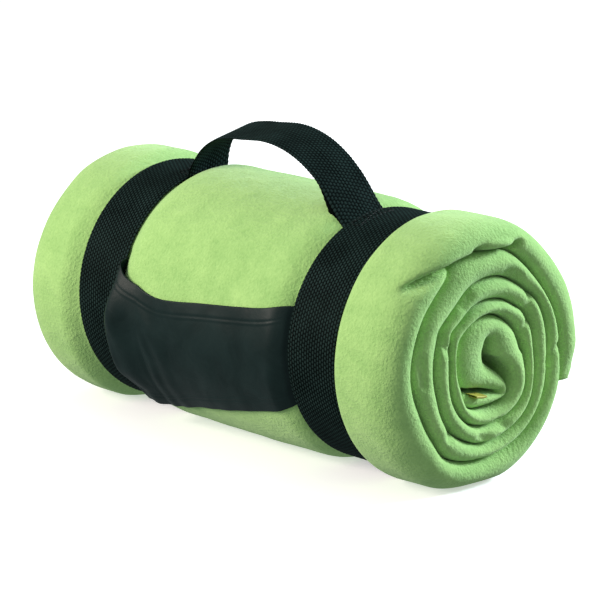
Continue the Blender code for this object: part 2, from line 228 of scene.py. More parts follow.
# How far each end bulges from round: angle, mm
RIGHT_BULGE = (
    (-60, 0.4), (-30, 1.6), (-12, 2.8), (3, 2.3), (22, 1.6), (45, -0.7), (70, 0.6), (100, 1.6), (130, 0.6),
    (200, 0),
)
LEFT_BULGE = (
    (60, 0), (90, -0.5), (112, -1.6), (135, -2.1), (160, -0.5), (180, 0.9), (215, 2), (240, 1.4), (268, 0),
)
# The ends that are tucked under a strap's inner edge, the handle's and the panel's: the middle and the half
# width of each as angles round the roll, and how far it presses into the fleece
TUCKED_ENDS = ((97, 16.5, 0.0022), (192, 40, 0.0011))
# Unevenness of the outside: how deep it is, and how finely it varies along the roll and around it
WAVES, CRUMPLE = (0.0008, 22, 1.6), (0.0003, 60, 5)
LOSS = 0.0002                   # what the unevenness takes off the radius


def rest_limit(angle):
    """The radius at which the roll meets the floor, or a whole metre where it doesn't face it."""
    down = -math.sin(math.radians(angle))
    return AXIS_Z / down if down > 0.5 else 1


def tucked_depth(x, angle):
    """How far the tucked ends press into the fleece at a place."""
    inside = ease((x - STRAP_MIDDLE + STRAP_HALF + 0.003) / 0.002) * ease((STRAP_MIDDLE - 0.004 - x) / 0.003)
    return inside * max(depth * ease((half - abs(angle - middle)) / 3) for middle, half, depth in TUCKED_ENDS)


def uneven(x, angle, depth, along, around):
    """Smooth unevenness of the roll's outside, of one depth and fineness."""
    turn = math.radians(angle)
    return depth * noise.noise(Vector((x * along, math.cos(turn) * around, math.sin(turn) * around)))


def round_roll(x, angle):
    """The outside of the cinched roll, before its loose edge and the floor are taken into account."""
    edge = abs(abs(x) - STRAP_MIDDLE) - STRAP_HALF - CLEARANCE
    full = ROLL_RADIUS - (MIDDLE_LOSS if abs(x) < STRAP_MIDDLE else 0)
    reach = END_SWELL_LENGTH if x > STRAP_MIDDLE else SWELL_LENGTH
    swell = math.sin(math.pi / 2 * min(max(edge / reach, 0), 1))
    at_end = ease((abs(x) - STRAP_MIDDLE) / 0.03)
    full += at_end * through(RIGHT_BULGE if x > 0 else LEFT_BULGE, (angle + 90) % 360 - 90) / 1000
    radius = CINCHED + (full - CINCHED) * swell - tucked_depth(abs(x), angle)
    return radius + swell * (uneven(x, angle, *WAVES) + uneven(x, angle, *CRUMPLE) - LOSS)


def outside(x, angle):
    """The blanket's outside. The angle runs from the loose edge once round, up to the loose edge again."""
    radius = round_roll(x, angle)
    if angle > UNDER_EDGE[0][0]:
        radius = blur_min(radius, through(UNDER_EDGE, angle) / 1000, 0.004)
    return blur_min(radius, rest_limit(angle), 0.002)


def boundary(angle):
    """The radius, at the roll's ends, of the boundary outside the turn at this angle."""
    if angle < FIRST_TURN_END:
        return outside(FLARED, angle)
    return through(TURNS, angle) / 1000


FINE, COARSE = 0.0016, 0.0045   # steps along the roll, beside the straps and elsewhere


def along_half():
    """Places from the roll's middle to where its end starts to round off, close together at the straps."""
    places = [0.0]
    while places[-1] < FLARED - 0.008:
        off_strap = abs(places[-1] - STRAP_MIDDLE) - STRAP_HALF
        places.append(places[-1] + (FINE if -0.003 < off_strap < SWELL_LENGTH else COARSE))
    return places


FOLD_REACH = 0.0085             # along the roll, how far from its end a folded edge starts to round off
OUTER_REACH = 0.0115            # how much further in the outside of the outermost turn starts
OUTER_CORNER = 0.0065           # the thickness inside that turn's corner
LAST_STATION = 0.0225           # from the roll's end to the last station on its straight part
OUTER_STEPS, INNER_STEPS = 12, 6  # round the outer and the inner half of a folded edge


def slab_section(turn, thickness):
    """Stations round a section of the folded blanket: x and the share from its outer to its inner side."""
    loose = 1 - ease((turn - 325) / 40)
    reach = FOLD_REACH + OUTER_REACH * loose
    split = 0.5 + (0.5 - OUTER_CORNER / thickness) * loose
    half = [(x, 0) for x in along_half()]
    half.append((ROLL_HALF - (reach + LAST_STATION) / 2, 0))
    for i in range(OUTER_STEPS):
        a = math.pi / 2 / OUTER_STEPS * i
        half.append((ROLL_HALF - reach * (1 - math.sin(a)), split * (1 - math.cos(a))))
    for i in range(INNER_STEPS + 1):
        a = math.pi / 2 / INNER_STEPS * i
        half.append((ROLL_HALF - FOLD_REACH * (1 - math.cos(a)), 1 - (1 - split) * (1 - math.sin(a))))
    half += [(x, 1) for x in reversed(along_half()[::3])]
    return half + [(-x, share) for x, share in reversed(half[1:-1])] + half[:1]


def on_end(y, z):
    """A place in the plane of the roll's section, from its Y and its height over the axis."""
    return Vector((0, y, AXIS_Z + z))


def telescoped(turn, sign):
    """How far one turn's fold stands out from the roll's end. The turns step in a little, the core most."""
    wander = 0.0016 * noise.noise(Vector((turn / 70, sign * 3.1, 0.5)))
    corner = 0.003 * (1 - ease((turn - LOOSE_EDGE) / 12))
    core = 0.0045 * ease((turn - CORE_SINKS) / 300)
    return wander + 0.001 * ease((turn - FIRST_TURN_END) / 60) - core - corner


# The pinch in the outermost turn at the roll's right end, as a line of y and height over the axis in mm
PINCH = ((-63, 44.5), (-47, 51.3), (-38, 53.9), (-28.3, 56.5), (-12.2, 58.9), (-6.4, 62))
PINCH_START = -66               # the y at which it starts to deepen
PINCH_WIDTH, PINCH_DEPTH = 2, 0.009  # in mm, and in metres like the depths below
# The tip of cloth that the pinch leaves beside it, with a groove round its lower side
TIP_MIDDLE, TIP_SIZE = (6, 64.3), (13, 4)
TIP_GROOVE, TIP_HEIGHT = 0.006, 0.003
# Short creases across the turns inside it, as lines in the same way
CREASE_WIDTH, CREASE_DEPTH = 2.3, 0.0024
CREASES = (
    ((32, 33), (31, 21)), ((32, 18.5), (27.7, 10.5)), ((57, -1), (48.4, -8.4)), ((-36, 18.7), (-33, 10.7)),
    ((-27.4, -34.7), (-30, -39.6)), ((8.7, -36.8), (14.8, -40)), ((-4.3, -59.3), (3.4, -62.4)),
    ((-4.7, -43.2), (1, -45)), ((-52, 8), (-50, -6)), ((14, 48), (22, 45)), ((-14, 38), (-20, 33)),
)


def off_line(spot, line):
    """The distance of a spot from a line of short runs."""
    near = 99
    for start, end in zip(line, line[1:]):
        run = Vector(end) - Vector(start)
        along = min(max((spot - Vector(start)).dot(run) / run.length_squared, 0), 1)
        near = min(near, (spot - Vector(start) - run * along).length)
    return near


def pinched(spot):
    """How deep the outermost turn is pressed in at the roll's right end, in metres."""
    off = Vector([(spot[k] - TIP_MIDDLE[k]) / TIP_SIZE[k] for k in (0, 1)])
    groove = TIP_GROOVE * math.exp(-((off.length - 1.15) / 0.25) ** 2) * ease(0.6 - off.y)
    deepening = PINCH_DEPTH * ease((spot.x - PINCH_START) / 18)
    pinch = deepening * math.exp(-(off_line(spot, PINCH) / PINCH_WIDTH) ** 2)
    return pinch + groove - TIP_HEIGHT * ease(1.1 - off.length)


def creased_in(spot):
    """How deep the inner turns are pressed in by their short creases, in metres."""
    return max(CREASE_DEPTH * math.exp(-(off_line(spot, line) / CREASE_WIDTH) ** 2) for line in CREASES)


EDGE_SLANT = 13                 # the loose edge reaches further round on its inside, in degrees
TURN_GAP = 0.0004               # the air between one turn and the next


def spiral_section(turn, squash=1.0, lead=0.0):
    """A section of the wound part. squash closes it to a line, and lead moves it on round the roll."""
    outer, inner = boundary(turn), boundary(turn + 360) + TURN_GAP
    around = (turn - LOOSE_EDGE) % 360 + LOOSE_EDGE
    flared = outside(FLARED, around)
    slant = EDGE_SLANT * (1 - ease((turn - LOOSE_EDGE) / 25))
    section = []
    for x, share in slab_section(turn, outer - inner):
        press = outside(x, around) - flared
        high = outer + press * (outer / flared) ** 3
        low = inner + press * (inner / flared) ** 3
        share = 0.5 + (share - 0.5) * squash
        radius = high + (low - high) * share
        angle = math.radians(turn + lead - slant * (share - 0.3))
        section.append(on_end(radius * math.cos(angle), radius * math.sin(angle)) + Vector((x, 0, 0)))
    return turn, section


CORE_THICKNESS = 0.009
CORE_PAIR = 20                  # the degrees that each pair of CORE counts for


def core_section(at, squash=1.0, lead=0.0):
    """A section of the loose core, at a place counted along the pairs of CORE."""
    sides = [[[(k, pair[side][axis]) for k, pair in enumerate(CORE)] for axis in (0, 1)] for side in (0, 1)]
    high, low = (on_end(*(through(points, at) / 1000 for points in side)) for side in sides)
    onward = (high - low).cross(Vector((1, 0, 0))).normalized() * lead
    section = []
    for x, share in slab_section(CORE_START, CORE_THICKNESS):
        section.append(high.lerp(low, 0.5 + (share - 0.5) * squash) + onward + Vector((x, 0, 0)))
    return CORE_START + at * CORE_PAIR, section


def sheet_of(rows):
    """A mesh of rows of places: a grid whose points are put in place. A fourth value is a weave's height."""
    mesh = bmesh.new()
    bmesh.ops.create_grid(mesh, x_segments=len(rows[0]) - 1, y_segments=len(rows) - 1, size=1)
    height = mesh.verts.layers.float.new("weave_height") if len(rows[0][0]) == 4 else None
    for vert, place in zip(mesh.verts, (place for row in rows for place in row)):
        vert.co = place.xyz
        if height:
            vert[height] = place.w
    bmesh.ops.remove_doubles(mesh, verts=mesh.verts, dist=1e-6)
    bmesh.ops.recalc_face_normals(mesh, faces=mesh.faces)
    return mesh


def add_piece(name, mesh, finish, body):
    """Turns a finished mesh into a piece of the object that rides on a body."""
    data = bpy.data.meshes.new(name)
    mesh.to_mesh(data)
    mesh.free()
    data.shade_smooth()
    data.materials.append(finish)
    piece = bpy.data.objects.new(name, data)
    bpy.context.collection.objects.link(piece)
    if body:
        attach(piece, body)
    return piece


LOOSE_TIP = 3.5                 # how far round the roll the loose edge is rounded, in degrees
CORE_TIP = 0.003                # how far the blanket's first fold is rounded, in metres
TIP_STEPS = 6                   # sections round each of the two
FIRST_STEPS = 240               # sections in the first turn
WOUND_STEPS = 390               # from there to the core
CORE_STEPS = 8                  # to each pair of CORE
rounding = [math.pi / 2 / TIP_STEPS * i for i in range(TIP_STEPS + 1)]
wound = CORE_START - FIRST_TURN_END
sections = [spiral_section(LOOSE_EDGE, math.sin(a), -LOOSE_TIP * math.cos(a)) for a in rounding[:-1]]
sections += [spiral_section(LOOSE_EDGE + i * 360 / FIRST_STEPS) for i in range(FIRST_STEPS)]
sections += [spiral_section(FIRST_TURN_END + i * wound / WOUND_STEPS) for i in range(WOUND_STEPS)]
sections += [core_section(i / CORE_STEPS) for i in range(1, (len(CORE) - 1) * CORE_STEPS)]
sections += [core_section(len(CORE) - 1, math.cos(a), CORE_TIP * math.sin(a)) for a in rounding]

END_ZONE = 0.03                 # the length of each end over which its turns step, pinch and crease
PRESS_ALONG, PRESS_INWARD = 0.85, 0.5  # the pinch's direction: along the roll and towards its axis
for turn, section in sections:
    for place in section:
        sign = math.copysign(1, place.x)
        near_end = ease((abs(place.x) - ROLL_HALF + END_ZONE) / END_ZONE)
        if near_end > 0 and sign > 0:
            spot = Vector((place.y, place.z - AXIS_Z)) * 1000
            if turn < FIRST_TURN_END:
                outward = Vector((PRESS_ALONG, 0, 0)) + (place - on_end(0, 0)).normalized() * PRESS_INWARD
                place -= outward * pinched(spot) * near_end
            else:
                place.x -= creased_in(spot) * near_end
        place.x += sign * near_end * telescoped(turn, sign)


def nodes_of(finish):
    """The parts of a new material that every finish uses: its nodes, its links and its shader."""
    finish.use_nodes = True
    tree = finish.node_tree
    return tree.nodes, tree.links, tree.nodes["Principled BSDF"]


def pattern(nodes, links, kind, scale, **settings):
    """A texture node that reads the piece's own coordinates."""
    place = nodes.new("ShaderNodeTexCoord")
    made = nodes.new(f"ShaderNodeTex{kind}")
    links.new(place.outputs["Object"], made.inputs["Vector"])
    made.inputs["Scale"].default_value = scale
    for name, value in settings.items():
        made.inputs[name.replace("_", " ").title()].default_value = value
    return made


def ramp(nodes, links, fac, *stops):
    """A colour ramp: each stop is a place and a colour."""
    made = nodes.new("ShaderNodeValToRGB")
    links.new(fac, made.inputs["Fac"])
    for element, (place, colour) in zip(made.color_ramp.elements, stops):
        element.position, element.color = place, (*colour, 1)
    return made.outputs["Color"]


def mixed(nodes, links, share, first, second):
    """A mix of two values, from the share of the second."""
    made = nodes.new("ShaderNodeMix")
    made.inputs["Factor"].default_value = share
    links.new(first, made.inputs["A"])
    links.new(second, made.inputs["B"])
    return made.outputs["Result"]


def bumped(nodes, links, height, strength, depth, normal=None):
    """A bump from a height and a depth in metres. It goes over the bump given as normal."""
    made = nodes.new("ShaderNodeBump")
    made.inputs["Strength"].default_value = strength
    made.inputs["Distance"].default_value = depth
    links.new(height, made.inputs["Height"])
    if normal:
        links.new(normal, made.inputs["Normal"])
    return made.outputs["Normal"]


fleece = bpy.data.materials.new("lime_fleece")
nodes, links, shader = nodes_of(fleece)
shader.inputs["Roughness"].default_value = 1
shader.inputs["Specular IOR Level"].default_value = 0.15
shader.inputs["Sheen Weight"].default_value = 0.35
shader.inputs["Sheen Roughness"].default_value = 0.6
shader.inputs["Sheen Tint"].default_value = (0.8, 1, 0.7, 1)
nap = pattern(nodes, links, "Noise", 620, detail=3, roughness=0.6)
clumps = pattern(nodes, links, "Noise", 90, detail=3, roughness=0.55)
shade = pattern(nodes, links, "Noise", 14, detail=2)
mottled = mixed(nodes, links, 0.45, nap.outputs["Fac"], clumps.outputs["Fac"])
worn = mixed(nodes, links, 0.3, mottled, shade.outputs["Fac"])
green = ramp(nodes, links, worn, (0.34, (0.27, 0.5, 0.15)), (0.66, (0.43, 0.69, 0.235)))
links.new(green, shader.inputs["Base Color"])
soft = bumped(nodes, links, clumps.outputs["Fac"], 0.6, 0.0014)
links.new(bumped(nodes, links, nap.outputs["Fac"], 0.85, 0.0009, soft), shader.inputs["Normal"])

blanket_rows = [section for turn, section in sections]
blanket = add_piece("rolled_blanket", sheet_of(blanket_rows), fleece, "blanket")
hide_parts("blanket_roll")


# ---- Straps ----
# Black polypropylene webbing, woven with ribs along its length. Each strap goes from the top of the roll
# over its front and bottom to the back. Its free end is the same webbing, and comes down over the back.

RIB = 0.002                     # between the ribs of the weave
PICK = 0.0026                   # between the crossings along a rib
RELIEF = 0.00042                # how far the ribs stand out
RIB_COLUMNS = 4                 # columns of the mesh to a rib
ROW_STEP = PICK / 4             # from one row of the mesh to the next
PLAIN_COLUMNS = 8               # across a side that nobody sees
SCALLOP = 0.0003                # how far the edge goes in and out with the crossings
EDGE_ROUNDING = 0.00045


def weave_relief(along, across):
    """The height of the weave: short floats, each rib half a pick behind the last."""
    rib = across / RIB
    crossing = along / PICK + 0.5 * (math.floor(rib) % 2)
    float_height = 0.25 + 0.75 * abs(math.sin(math.pi * crossing)) ** 0.7
    return RELIEF * abs(math.sin(math.pi * rib)) ** 0.6 * float_height


def woven(places, width, start=0.0, both_sides=False):
    """Rows round a band of webbing. places gives its middle, its direction across and its outward normal."""
    count = round(width / RIB) * RIB_COLUMNS
    rows = []
    for step, (middle, across, out) in enumerate(places):
        along = start + step * ROW_STEP
        scallop = SCALLOP * math.sin(math.tau * along / PICK)
        row = []
        for side in (1, -1):
            columns = count if side > 0 or both_sides else PLAIN_COLUMNS
            for i in range(columns + 1):
                share = (i / columns - 0.5) * side
                relief = weave_relief(along, (share + 0.5) * width) if columns == count else 0
                rounding = EDGE_ROUNDING * ease(abs(share) * 2 * 8 - 7)
                lift = (WEBBING / 2 - RELIEF - rounding + relief) * side
                place = middle + across * (share * (width + scallop)) + out * lift
                row.append(Vector((*place, relief / RELIEF)))
        rows.append(row + row[:1])
    closing = []
    for (middle, across, out), row in ((places[0], rows[0]), (places[-1], rows[-1])):
        closing.append([(middle + across * ((p.xyz - middle).dot(across))).to_4d() for p in row])
    return closing[:1] + rows + closing[1:]


def round_places(side, start, end, radius):
    """Middles, directions and normals of webbing round the roll. radius gives its inside at an angle."""
    places = []
    angle = start
    step = math.copysign(1, end - start)
    while (end - angle) * step > 0:
        turn = math.radians(angle)
        out = Vector((0, math.cos(turn), math.sin(turn)))
        here = radius(angle) + WEBBING / 2
        places.append((Vector((side * STRAP_MIDDLE, 0, AXIS_Z)) + out * here, Vector((1, 0, 0)), out))
        angle += step * math.degrees(ROW_STEP / here)
    return places


webbing = bpy.data.materials.new("black_webbing")
nodes, links, shader = nodes_of(webbing)
shader.inputs["Roughness"].default_value = 0.6
shader.inputs["Specular IOR Level"].default_value = 0.02
yarn = pattern(nodes, links, "Noise", 1500, detail=3, roughness=0.6)
batch = pattern(nodes, links, "Noise", 60, detail=2)
dyed = mixed(nodes, links, 0.4, yarn.outputs["Fac"], batch.outputs["Fac"])
# The colour is scaled by the weave's height, so the raised floats are lighter and the hollows between the
# ribs near black: a painted highlight on the floats and painted shade in the hollows, over the yarn's random
# tone.
height = nodes.new("ShaderNodeAttribute")
height.attribute_name = "weave_height"
tone_and_painted_weave_light = nodes.new("ShaderNodeMath")
tone_and_painted_weave_light.operation = "MULTIPLY"
links.new(dyed, tone_and_painted_weave_light.inputs[0])
links.new(height.outputs["Fac"], tone_and_painted_weave_light.inputs[1])
black = ramp(
    nodes, links, tone_and_painted_weave_light.outputs["Value"], (0.14, (0.0003, 0.0016, 0.0015)), (0.5, (0.019, 0.038, 0.036))
)
links.new(black, shader.inputs["Base Color"])
links.new(bumped(nodes, links, yarn.outputs["Fac"], 0.4, 0.0002), shader.inputs["Normal"])

OPENING = 66                    # the angle at which a strap's free end begins
OPENING_GAP = 0.02              # between the strap and its free end there, in degrees
STRAP_END = -22                 # the angle at which the strap ends, under its free end
FREE_END = -64                  # the angle at which the free end ends
STRAP_INNER = STRAP_OUTER - WEBBING
TAPE = 0.0009                   # the closure tapes' thickness
LIFT = 3 * CLEARANCE + 2 * TAPE + WEBBING  # from the strap to its free end, over the closure
RAMP = 12                       # the degrees over which the free end climbs on to the strap
RAMP_LEAD = 2                   # the degrees before the strap's end at which it is up


def free_inside(angle):
    """The inside of the free end, which climbs over the strap's end and its loop tape."""
    return STRAP_INNER + LIFT * ease((STRAP_END + RAMP + RAMP_LEAD - angle) / RAMP)


def strap_inside(angle):
    """The inside of the strap itself, which lies the same all the way round."""
    return STRAP_INNER


SIDES = (("left", -1), ("right", 1))
for name, side in SIDES:
    places = round_places(side, OPENING, 360 + STRAP_END, strap_inside)
    rows = woven(places, 2 * STRAP_HALF)
    strap = add_piece(f"webbing_strap_{name}", sheet_of(rows), webbing, "carrier")
    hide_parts(f"strap_{name}")
    places = round_places(side, OPENING - OPENING_GAP, FREE_END, free_inside)
    rows = woven(places, 2 * STRAP_HALF, start=ROW_STEP, both_sides=True)
    loose = add_piece(f"webbing_free_end_{name}", sheet_of(rows), webbing, None)
    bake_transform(loose)
    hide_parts(f"strap_free_end_{name}")


# ---- Handle ----
# The same webbing, narrower. Each end turns under its strap at the top of the roll and is sewn through it.

HANDLE_WIDTH = 0.031
# The middle line of the webbing: x and height over the axis, in mm
HANDLE_LINE = (
    (-85, 70.1), (-79, 70.1), (-74.2, 70.2), (-73, 72.2), (-72.8, 74.4), (-71.4, 79), (-66.8, 86),
    (-58.6, 93.2), (-47, 99), (-34, 101.8), (-22, 103.1), (-12, 104.3), (-4, 105), (6, 104.8), (18, 103),
    (30, 99.4), (42, 93.6), (52, 86.9), (60, 80.7), (67, 75), (71.6, 71.6), (74.5, 70.2), (79, 70.1),
    (85, 70.1),
)
HANDLE_FRONT = -0.009           # the handle's middle lies in front of the roll's top
HANDLE_LEAN = 0.6               # the share of that by which its right end lies further forward
HANDLE_TILT = 0.22              # its front edge hangs lower, as a slope
HANDLE_TWIST = -0.04            # its left leg is turned, so that the back edge lies further out
HANDLE_FREE = 0.016             # over this height it comes free of the roll's curve


def off_roll(place):
    """0 where the handle lies on the roll, and 1 where it stands free."""
    return ease((place.z - AXIS_Z - STRAP_INNER) / HANDLE_FREE)


def handle_places():
    """Middles, directions and normals along the handle's webbing, one row of the mesh apart."""
    points = [Vector((x / 1000, 0, AXIS_Z + z / 1000)) for x, z in HANDLE_LINE]
    lengths = [0]
    for a, b in zip(points, points[1:]):
        lengths.append(lengths[-1] + (b - a).length * 1000)
    xs, zs = ([(at, p[k]) for at, p in zip(lengths, points)] for k in (0, 2))
    count = int(lengths[-1] / 1000 / ROW_STEP)
    spots = [lengths[-1] * i / count for i in range(count + 1)]
    line = [Vector((through(xs, at), 0, through(zs, at))) for at in spots]
    places = []
    for i, place in enumerate(line):
        run = (line[min(i + 1, count)] - line[max(i - 1, 0)]).normalized()
        free = off_roll(place)
        twist = HANDLE_TWIST * free * ease((-0.02 - place.x) / 0.03)
        across = Vector((twist, 1, HANDLE_TILT * free)).normalized()
        forward = HANDLE_FRONT * (1 + HANDLE_LEAN * place.x / (STRAP_MIDDLE - STRAP_HALF))
        middle = place + Vector((0, forward, 0))
        places.append((middle, across, run.cross(across).normalized()))
    return places


def crowned(rows):
    """Bends the tucked ends to the curve of the roll."""
    for row in rows:
        for place in row:
            place.z -= (1 - off_roll(place)) * (STRAP_INNER - math.sqrt(STRAP_INNER ** 2 - place.y ** 2))
    return rows


handle_rows = crowned(woven(handle_places(), HANDLE_WIDTH, both_sides=True))
handle = add_piece("carry_handle", sheet_of(handle_rows), webbing, None)
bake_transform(handle)
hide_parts("handle", "handle_end_left", "handle_end_right")


# ---- Front panel ----
# Thin coated nylon, hemmed along its top and bottom edge. Both ends are sewn in under the straps. It is cut
# too wide for the roll, so it stands up in slack folds beside the left strap.

PANEL = 0.0004                  # the nylon's thickness
# The rest of the panel's sizes are in mm and degrees
PANEL_LEFT, PANEL_LENGTH = -83, 166  # from the one end to the other, under the straps
SHOWING = 73                    # it comes out from under a strap at this distance from the middle
TUCKED_RADIUS = 70.25           # where it lies under a strap
FULL_RADIUS = 77.6              # the most it is pushed out to between the straps
MM_PER_DEGREE = 1.33            # round the roll
HEM = 8.5                       # the hems' depth
# Its top and bottom edge: x and angle
PANEL_TOP = (
    (-73, 157), (-66, 161.5), (-52, 168), (-37, 171), (-20, 170.6), (0, 168.7), (34, 165.7), (58, 163),
    (73, 159),
)
PANEL_BOTTOM = ((-73, 225), (-64, 228.6), (-44, 229), (-14, 223), (18, 217), (49, 211.4), (73, 206.5))
# Across the panel at its left end: x and radius where it lies flat, and where its slack stands up
SLACK = (
    ((-83, 70.25), (-83, 70.25)), ((-78, 70.25), (-78, 70.25)), ((-73.6, 70.25), (-73.6, 70.25)),
    ((-72.6, 70.9), (-72.5, 71.2)), ((-71.6, 72.3), (-72.4, 73.4)), ((-70.6, 73.6), (-74.6, 75.6)),
    ((-69.4, 74.8), (-77, 78)), ((-68, 75.6), (-76.6, 80.2)), ((-66.2, 76.2), (-74, 81.4)),
    ((-64, 76.7), (-70, 81.2)), ((-61, 76.9), (-65, 79.8)), ((-57, 77), (-59, 78.2)),
    ((-52, 77), (-52.5, 77.3)),
)
SLACK_END = SLACK[-1][0][0]     # the x beyond which the panel lies flat
# The small folds that fan out from its left end: how far along it each lies, and how high it stands
FOLDS = ((8, 1.2), (17, 1.5), (27, 1.1), (39, 0.7))


def panel_angle(x, share):
    """The angle round the roll of a place on the panel, from its x and its share from top to bottom."""
    top, bottom = (through(line, x * 1000) for line in (PANEL_TOP, PANEL_BOTTOM))
    return top + (bottom - top) * share


def slack_place(at, side):
    """x and radius at a place counted along the pairs of SLACK. side is 0 for flat and 1 for standing up."""
    return [through([(k, pair[side][axis]) for k, pair in enumerate(SLACK)], at) for axis in (0, 1)]


def hem_relief(edge):
    """How far the doubled hem stands out, with its stitches sunk in it, at a distance from the edge."""
    doubled = 0.4 * (1 - ease((edge - HEM - 0.2) / 1.4))
    return doubled - 0.35 * math.exp(-((edge - HEM + 0.6) / 0.8) ** 2)


def panel_place(along, share):
    """A place on the panel, from how far along it lies from its left end, and its share from the top down."""
    flat_x = PANEL_LEFT + along
    angle = panel_angle(max(min(flat_x, SHOWING), -SHOWING) / 1000, share)
    slack = ease((angle - 161) / 27) * (1 - 0.75 * ease((angle - 207) / 16))
    if flat_x < SLACK_END:
        at = along / (SLACK_END - PANEL_LEFT) * (len(SLACK) - 1)
        x, radius = (a + (b - a) * slack for a, b in zip(slack_place(at, 0), slack_place(at, 1)))
    else:
        x = flat_x
        radius = min(outside(x / 1000, angle) * 1000 + 0.75, FULL_RADIUS)
        if abs(x) > SHOWING - 1.6:
            radius = TUCKED_RADIUS + (radius - TUCKED_RADIUS) * ease((SHOWING - abs(x)) / 1.6)
    top, bottom = (panel_angle(max(flat_x, -SHOWING) / 1000, edge) for edge in (0, 1))
    free = ease((along - 9) / 6) * ease((PANEL_LENGTH - 11 - along) / 12)
    radius += free * hem_relief(min((angle - top) * MM_PER_DEGREE, (bottom - angle) * MM_PER_DEGREE))
    spread = 0.3 + 0.7 * ease((angle - 158) / 45)
    for fold, height in FOLDS:
        radius += free * height * math.exp(-((along - 10 - fold * spread) / (2.3 + fold * 0.08)) ** 2)
    radius += free * 0.8 * noise.noise(Vector((x * 0.035, angle * 0.03, 2.2)))
    radius += free * 0.35 * noise.noise(Vector((x * 0.09 + angle * 0.05, angle * 0.09, 7)))
    if abs(x) < SHOWING - 2:
        radius = max(radius, outside(x / 1000, angle) * 1000 + 0.4)
    turn = math.radians(angle)
    return on_end(radius / 1000 * math.cos(turn), radius / 1000 * math.sin(turn)) + Vector((x / 1000, 0, 0))


nylon = bpy.data.materials.new("slate_nylon")
nodes, links, shader = nodes_of(nylon)
shader.inputs["Roughness"].default_value = 0.42
shader.inputs["Specular IOR Level"].default_value = 0.13
weave = pattern(nodes, links, "Wave", 900)
creased = pattern(nodes, links, "Noise", 45, detail=5, roughness=0.6, distortion=0.6)
# The colour follows the same noise as the crinkle bump, darker in its hollows and lighter on its ridges:
# painted shade in the creases over the nylon's slate colour.
slate_with_painted_crease_shade = ramp(
    nodes, links, creased.outputs["Fac"], (0.3, (0.0035, 0.0115, 0.0115)), (0.7, (0.0085, 0.0205, 0.0205))
)
links.new(slate_with_painted_crease_shade, shader.inputs["Base Color"])
crinkle = bumped(nodes, links, creased.outputs["Fac"], 0.25, 0.0015)
links.new(bumped(nodes, links, weave.outputs["Fac"], 0.12, 0.0001, crinkle), shader.inputs["Normal"])

PANEL_COLUMNS, PANEL_ROWS = 200, 96
panel_rows = [
    [panel_place(PANEL_LENGTH * i / PANEL_COLUMNS, j / PANEL_ROWS) for i in range(PANEL_COLUMNS + 1)]
    for j in range(PANEL_ROWS + 1)
]
panel_mesh = sheet_of(panel_rows)
bmesh.ops.solidify(panel_mesh, geom=panel_mesh.faces[:], thickness=-PANEL)
panel = add_piece("nylon_panel", panel_mesh, nylon, "carrier")
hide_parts("front_panel")


# ---- Closures ----
# Woven nylon hook tape is sewn inside each free end, and loop tape outside the strap's end under it.

TAPE_HALF = STRAP_HALF - 0.0025
TAPE_MARGIN = 3                 # degrees of webbing that both tapes leave bare at each end
LOOP_INSIDE = STRAP_OUTER + CLEARANCE
HOOK_INSIDE = LOOP_INSIDE + TAPE + CLEARANCE
TUFT = 0.0013                   # between the hooks of the tape
TUFT_STEPS = 4                  # rows and columns of the mesh to a hook


def tape_rows(side, radius):
    """A grid on a tape: radius gives its surface from the number of the row and of the column."""
    rows = []
    start, end = FREE_END + TAPE_MARGIN, STRAP_END - TAPE_MARGIN
    count = round(math.radians(end - start) * HOOK_INSIDE / TUFT) * TUFT_STEPS
    across = round(2 * TAPE_HALF / TUFT) * TUFT_STEPS
    for i in range(count + 1):
        angle = math.radians(start + (end - start) * i / count)
        row = []
        for j in range(across + 1):
            x = (2 * j / across - 1) * TAPE_HALF + side * STRAP_MIDDLE
            here = radius(i, j)
            row.append(on_end(here * math.cos(angle), here * math.sin(angle)) + Vector((x, 0, 0)))
        rows.append(row)
    return rows


def hooks(i, j):
    """The hooks stand inwards from the tape in staggered rows."""
    stagger = 0.5 * (i // TUFT_STEPS % 2)
    tuft = abs(math.sin(math.pi * i / TUFT_STEPS) * math.sin(math.pi * (j / TUFT_STEPS + stagger))) ** 0.7
    return HOOK_INSIDE + TAPE * 0.55 * (1 - tuft)


def loops(i, j):
    """The loops make an uneven nap on the outside of the tape."""
    return LOOP_INSIDE + TAPE * (0.8 + 0.2 * noise.noise(Vector((i * 0.9, j * 0.9, 4))))


pile = bpy.data.materials.new("black_tape")
nodes, links, shader = nodes_of(pile)
shader.inputs["Roughness"].default_value = 0.85
shader.inputs["Sheen Weight"].default_value = 0.15
fuzz = pattern(nodes, links, "Noise", 1100, detail=4, roughness=0.7)
links.new(
    ramp(nodes, links, fuzz.outputs["Fac"], (0.3, (0.004, 0.005, 0.005)), (0.7, (0.016, 0.019, 0.019))),
    shader.inputs["Base Color"],
)
links.new(bumped(nodes, links, fuzz.outputs["Fac"], 0.6, 0.0004), shader.inputs["Normal"])

for name, side in SIDES:
    for kind, shape, body, wall in (
        ("hook", hooks, f"{name}_free_end", 0.0004),
        ("loop", loops, "carrier", -0.0005),
    ):
        mesh = sheet_of(tape_rows(side, shape))
        bmesh.ops.solidify(mesh, geom=mesh.faces[:], thickness=wall)
        tape = add_piece(f"{kind}_tape_pile_{name}", mesh, pile, body)
        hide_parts(f"{kind}_tape_{name}")


# ---- Stitching ----
# Bonded polyester thread. Each stitch is a short length of thread that dips into the cloth at both ends.

STITCH = 0.0031                 # from one stitch to the next
THREAD = 0.00028                # the thread's radius


